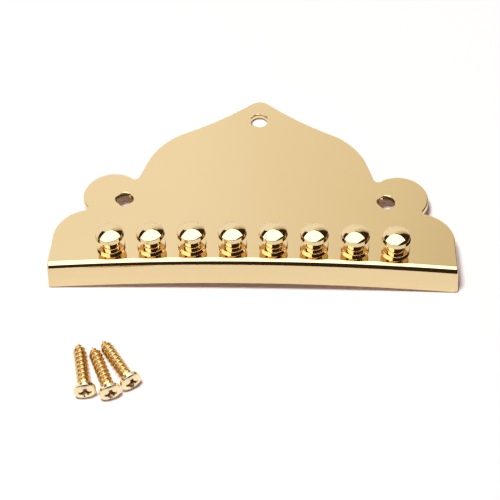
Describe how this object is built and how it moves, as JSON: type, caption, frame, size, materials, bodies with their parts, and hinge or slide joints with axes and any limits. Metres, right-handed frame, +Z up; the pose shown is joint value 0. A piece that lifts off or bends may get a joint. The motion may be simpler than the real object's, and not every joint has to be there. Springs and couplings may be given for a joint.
{
  "type": "mandolin tailpiece",
  "caption": "Arched metal tailpiece with a cloud outline, a folded lip and riveted button posts for loop-end strings, with its loose cross-recess wood screws.",
  "frame": {"origin": "on the table, under the middle of the whole set's bounding box, with the tailpiece resting on the lip's two lower corners and the tip and the screws lying in front of it", "axes": "+Z up from the table, +X to the right along the row of posts, -Y towards the viewer, where the lip faces"},
  "size_m": [0.0862, 0.0766, 0.0128],
  "materials": {
    "plate": "mirror-polished gold plating",
    "posts": "mirror-polished gold plating",
    "screws": "bright gold plating"
  },
  "bodies": {
    "tailpiece": {"base_plate": "plate", "hitch_post_1": "posts", "hitch_post_2": "posts", "hitch_post_3": "posts", "hitch_post_4": "posts", "hitch_post_5": "posts", "hitch_post_6": "posts", "hitch_post_7": "posts", "hitch_post_8": "posts"},
    "left_screw": {"left_wood_screw": "screws"},
    "middle_screw": {"middle_wood_screw": "screws"},
    "right_screw": {"right_wood_screw": "screws"}
  },
  "joints": [
    {"name": "lift_left_screw", "type": "slide", "parent": "tailpiece", "child": "left_screw", "axis": [0, 0, 1], "range_m": [0, 0.05]},
    {"name": "lift_middle_screw", "type": "slide", "parent": "tailpiece", "child": "middle_screw", "axis": [0, 0, 1], "range_m": [0, 0.05]},
    {"name": "lift_right_screw", "type": "slide", "parent": "tailpiece", "child": "right_screw", "axis": [0, 0, 1], "range_m": [0, 0.05]}
  ]
}
